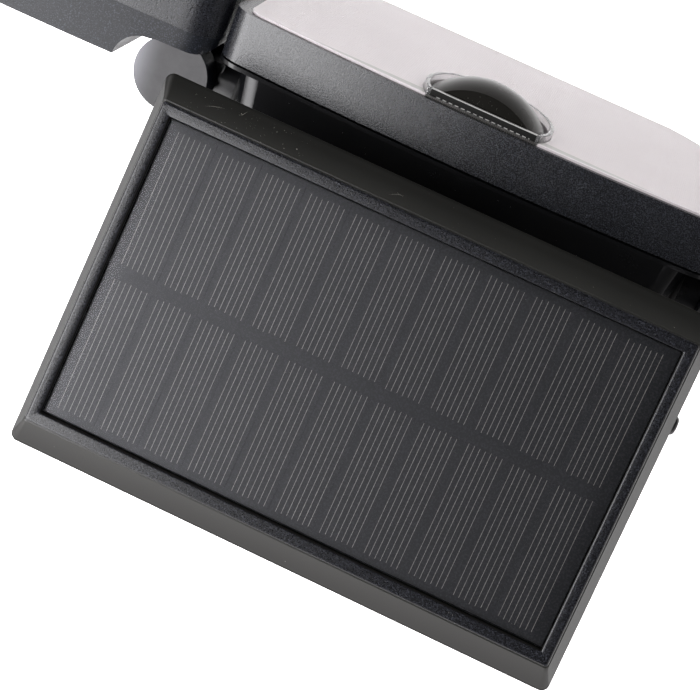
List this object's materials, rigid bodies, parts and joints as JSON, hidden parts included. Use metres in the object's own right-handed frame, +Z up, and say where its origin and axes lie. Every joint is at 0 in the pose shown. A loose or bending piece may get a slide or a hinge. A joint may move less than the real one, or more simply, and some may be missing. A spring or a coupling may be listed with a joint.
{
  "type": "solar wall light",
  "caption": "Wall-mounted solar light with a tilting solar panel over a wide centre lamp and motion sensor, and a swinging lamp on a knuckle at each side.",
  "frame": {"origin": "centre of the wall bracket's back face, level with the bracket pivots", "axes": "+Y into the wall, -Y out to the front, +Z up, +X to the right seen from the front"},
  "size_m": [0.3692, 0.135, 0.1308],
  "materials": {
    "bracket_steel": "satin black powder coat",
    "rubber_black": "matt",
    "fastener_steel": "bright",
    "body_plastic": "satin moulded black",
    "bezel_plastic": "fine speckled texture, blue-black",
    "lens_white": "translucent, fine prism grid",
    "reflector_white": "white moulded",
    "led_board_white": "white solder mask",
    "led_phosphor": "yellow phosphor",
    "collar_clear": "clear moulded, frosted edge",
    "dome_smoke": "smoked gloss",
    "sensor_metal": "bright can",
    "board_green": "solder mask",
    "component_black": "moulded packages",
    "battery_wrap": "shrink wrap",
    "holder_plastic": "moulded",
    "insert_brass": "turned",
    "bush_nylon": "natural nylon",
    "button_rubber": "soft touch",
    "knob_plastic": "textured",
    "panel_frame_plastic": "satin, fine texture",
    "panel_cover_plastic": "fine texture",
    "laminate_dark": "dark laminate",
    "cell_silicon": "dark silicon with fine silver fingers",
    "film_matt": "fine matt film",
    "foam_black": "foam tape",
    "cable_jacket": "smooth jacket",
    "arm_plastic": "satin moulded"
  },
  "bodies": {
    "wall_bracket": {"u_bracket": "bracket_steel", "friction_washers": "rubber_black", "outer_washers": "fastener_steel"},
    "lamp_body": {"rear_housing": "body_plastic", "housing_gasket": "rubber_black", "center_bezel": "bezel_plastic", "bezel_screws": "fastener_steel", "center_lens": "lens_white", "center_reflector": "reflector_white", "center_led_board": "led_board_white", "center_leds": "led_phosphor", "pir_collar": "collar_clear", "pir_dome": "dome_smoke", "pir_sensor": "sensor_metal", "control_board": "board_green", "board_components": "component_black", "battery_cells": "battery_wrap", "battery_holder": "holder_plastic", "knob_inserts": "insert_brass", "arm_bushes": "bush_nylon", "panel_stand": "body_plastic", "stand_screws": "fastener_steel", "hinge_bolt": "fastener_steel", "hinge_nut": "fastener_steel", "hinge_washers": "fastener_steel", "cable_gland": "rubber_black"},
    "power_button": {"mode_button": "button_rubber"},
    "right_knob": {"right_lock_knob": "knob_plastic", "right_knob_screw": "fastener_steel"},
    "left_knob": {"left_lock_knob": "knob_plastic", "left_knob_screw": "fastener_steel"},
    "solar_panel": {"panel_frame": "panel_frame_plastic", "panel_back_cover": "panel_cover_plastic", "laminate_board": "laminate_dark", "solar_cells": "cell_silicon", "front_film": "film_matt", "panel_gasket": "foam_black", "panel_screws": "fastener_steel", "panel_cable": "cable_jacket"},
    "right_arm_body": {"right_arm": "arm_plastic", "right_arm_clip": "fastener_steel", "right_arm_seal": "rubber_black"},
    "left_arm_body": {"left_arm": "arm_plastic", "left_arm_clip": "fastener_steel", "left_arm_seal": "rubber_black"},
    "right_lamp": {"right_housing": "body_plastic", "right_bezel": "bezel_plastic", "right_lens": "lens_white", "right_reflector": "reflector_white", "right_led_board": "led_board_white", "right_leds": "led_phosphor", "right_pivot_screw": "fastener_steel"},
    "left_lamp": {"left_housing": "body_plastic", "left_bezel": "bezel_plastic", "left_lens": "lens_white", "left_reflector": "reflector_white", "left_led_board": "led_board_white", "left_leds": "led_phosphor", "left_pivot_screw": "fastener_steel"}
  },
  "joints": [
    {"name": "body_tilt", "type": "hinge", "parent": "wall_bracket", "child": "lamp_body", "pos_m": [0, -0.0563, 0], "axis": [1, 0, 0], "range_deg": [-5, 40]},
    {"name": "panel_tilt", "type": "hinge", "parent": "lamp_body", "child": "solar_panel", "pos_m": [0, -0.05472, 0.05405], "axis": [1, 0, 0], "range_deg": [-19, 12], "deforming": ["panel_cable"]},
    {"name": "right_arm_tilt", "type": "hinge", "parent": "lamp_body", "child": "right_arm_body", "pos_m": [0.06, -0.1017, 0.019], "axis": [1, 0, 0], "range_deg": [-15, 45]},
    {"name": "left_arm_tilt", "type": "hinge", "parent": "lamp_body", "child": "left_arm_body", "pos_m": [-0.06, -0.1017, 0.019], "axis": [1, 0, 0], "range_deg": [-15, 45]},
    {"name": "right_lamp_swing", "type": "hinge", "parent": "right_arm_body", "child": "right_lamp", "pos_m": [0.0829, -0.1017, 0.019], "axis": [0, 0, 1], "range_deg": [-2, 70]},
    {"name": "left_lamp_swing", "type": "hinge", "parent": "left_arm_body", "child": "left_lamp", "pos_m": [-0.0829, -0.1017, 0.019], "axis": [0, 0, 1], "range_deg": [-70, 2]},
    {"name": "button_press", "type": "slide", "parent": "lamp_body", "child": "power_button", "axis": [0, 0, 1], "range_m": [0, 0.0012]},
    {"name": "right_knob_turn", "type": "hinge", "parent": "lamp_body", "child": "right_knob", "pos_m": [0.075, -0.0563, 0], "axis": [1, 0, 0], "range_deg": [0, 270]},
    {"name": "left_knob_turn", "type": "hinge", "parent": "lamp_body", "child": "left_knob", "pos_m": [-0.075, -0.0563, 0], "axis": [1, 0, 0], "range_deg": [0, 270]}
  ]
}
